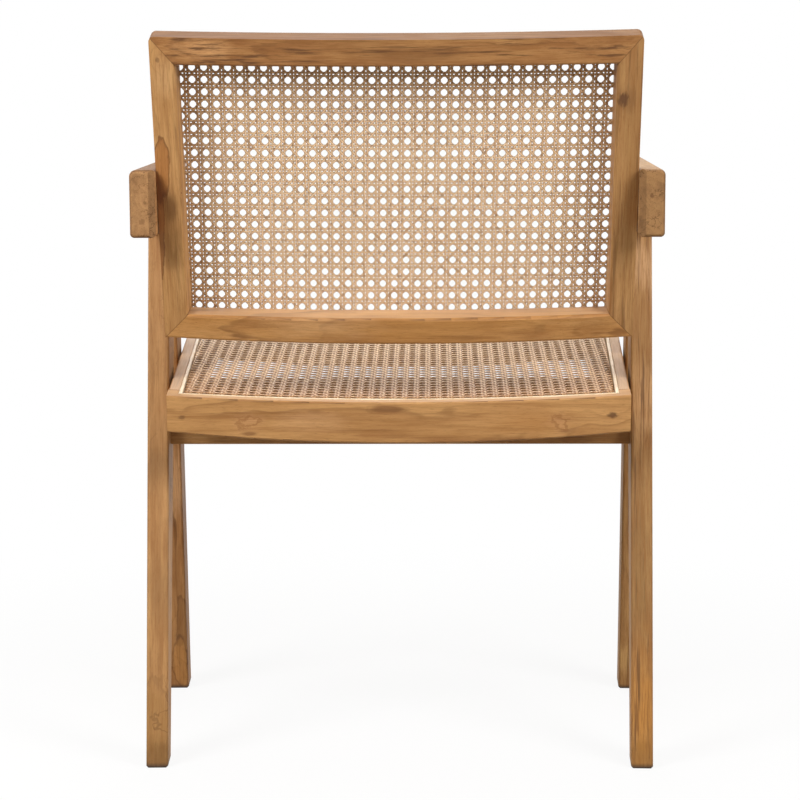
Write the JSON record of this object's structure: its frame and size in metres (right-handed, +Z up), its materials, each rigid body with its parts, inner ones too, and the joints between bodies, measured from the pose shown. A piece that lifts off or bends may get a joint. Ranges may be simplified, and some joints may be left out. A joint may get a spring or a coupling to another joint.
{
  "type": "cane armchair",
  "caption": "Upright wooden armchair: V-shaped leg frames under level armrests carry a curved woven cane back and a dished woven cane seat.",
  "frame": {"origin": "centre of the chair's footprint, on the floor", "axes": "+Z up, the sitter faces -Y, +X is the sitter's left; the back leans towards +Y"},
  "size_m": [0.5968, 0.5405, 0.7993],
  "materials": {
    "teak": "satin oiled teak with visible grain",
    "dowel_wood": "plain turned hardwood",
    "cane": "woven rattan cane, slightly glossy skin",
    "reed": "pale rattan reed",
    "screw_steel": "plain steel"
  },
  "bodies": {
    "root": {"left_rear_leg": "teak", "right_rear_leg": "teak", "left_front_leg": "teak", "right_front_leg": "teak", "left_armrest": "teak", "right_armrest": "teak", "back_top_rail": "teak", "back_bottom_rail": "teak", "back_left_stile": "teak", "back_right_stile": "teak", "seat_front_rail": "teak", "seat_rear_rail": "teak", "seat_left_rail": "teak", "seat_right_rail": "teak", "rear_stretcher": "teak", "front_stretcher": "teak", "armrest_dowels": "dowel_wood", "apex_dowels": "dowel_wood", "back_mount_dowels": "dowel_wood", "back_mitre_keys": "dowel_wood", "seat_corner_dowels": "dowel_wood", "back_cane_panel": "cane", "seat_cane_panel": "cane", "back_spline_top": "reed", "back_spline_bottom": "reed", "back_spline_left": "reed", "back_spline_right": "reed", "seat_spline_front": "reed", "seat_spline_rear": "reed", "seat_spline_left": "reed", "seat_spline_right": "reed", "seat_screws": "screw_steel"}
  },
  "joints": []
}
